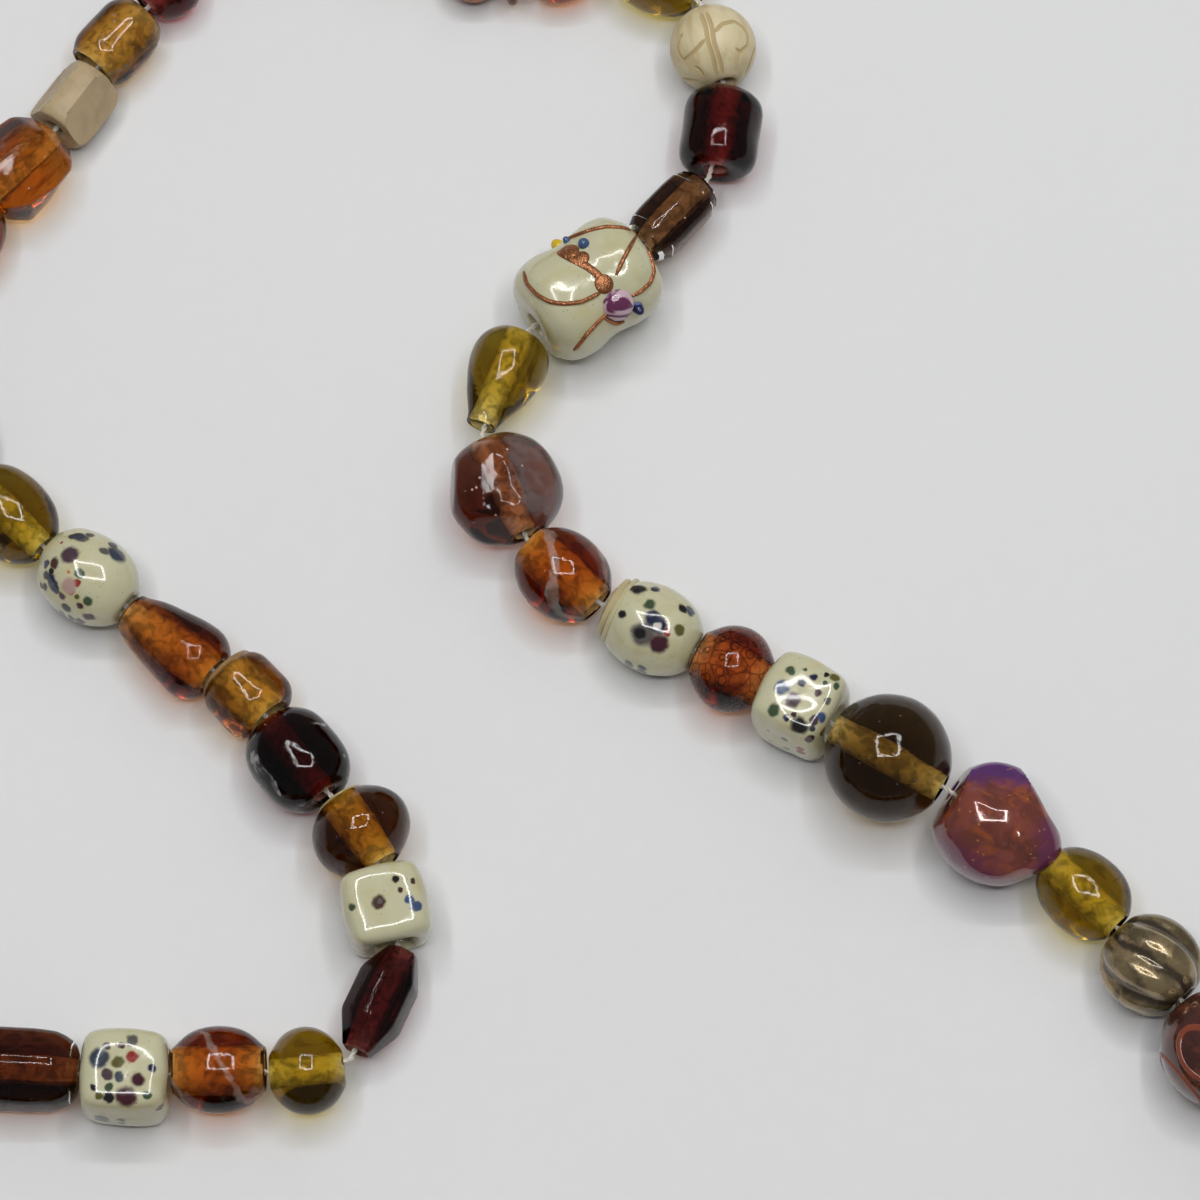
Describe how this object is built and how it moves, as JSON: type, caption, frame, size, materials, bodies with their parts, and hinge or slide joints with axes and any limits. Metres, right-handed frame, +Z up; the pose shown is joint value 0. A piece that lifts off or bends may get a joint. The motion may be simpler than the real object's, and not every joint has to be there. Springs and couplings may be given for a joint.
{
  "type": "beaded necklace",
  "caption": "Single-strand necklace of mixed glass, speckled, bone and stone beads on a thread, lying flat as a closed loop",
  "frame": {"origin": "middle of the loop's outline from above, on the surface that it lies on", "axes": "+Z up from the surface, +Y away from the viewer as in the picture, +X to the viewer's right"},
  "size_m": [0.1644, 0.172, 0.014],
  "materials": {
    "amber": "gloss",
    "olive": "gloss",
    "smoke": "gloss",
    "garnet": "gloss",
    "plum": "gloss",
    "rust": "gloss",
    "copper": "luster",
    "cream": "opaque gloss with dark speckles",
    "bone": "carved bone, satin",
    "stone": "polished stone, matte",
    "brown": "gloss",
    "metal": "satin",
    "thread": "twisted cotton"
  },
  "bodies": {
    "root": {"brown_hexagon": "brown", "speckled_dice": "cream", "brown_swirl_oval": "amber", "olive_round": "olive", "burgundy_bicone": "garnet", "speckled_block": "cream", "smoky_amber_round": "smoke", "black_plum_oval": "plum", "collared_amber_tube": "amber", "orange_cone": "amber", "speckled_oval_left": "cream", "olive_oval_left": "olive", "hidden_plum_oval": "plum", "hidden_olive_oval": "olive", "hidden_amber_oval": "amber", "amber_nugget": "amber", "beige_prism": "stone", "honey_tube": "amber", "plum_round": "plum", "hidden_rust_oval": "rust", "hidden_smoke_oval": "smoke", "hidden_olive_small": "olive", "copper_foil_round": "copper", "brown_spacer": "brown", "ruby_oval": "rust", "olive_oval_top": "olive", "carved_bone_round": "bone", "garnet_barrel": "garnet", "smoky_hexagon_tube": "smoke", "copper_trail_lampwork": "cream", "olive_drop": "olive", "plum_luster_lump": "plum", "amber_swirl_oval": "amber", "speckled_oval_right": "cream", "crackle_amber_round": "rust", "speckled_cube": "cream", "smoky_globe": "smoke", "rainbow_pebble": "rust", "olive_oval_right": "olive", "olive_melon": "olive", "red_looped_disc": "rust", "right_string": "smoke", "left_string": "smoke", "clasp": "metal", "thread": "thread"}
  },
  "joints": []
}
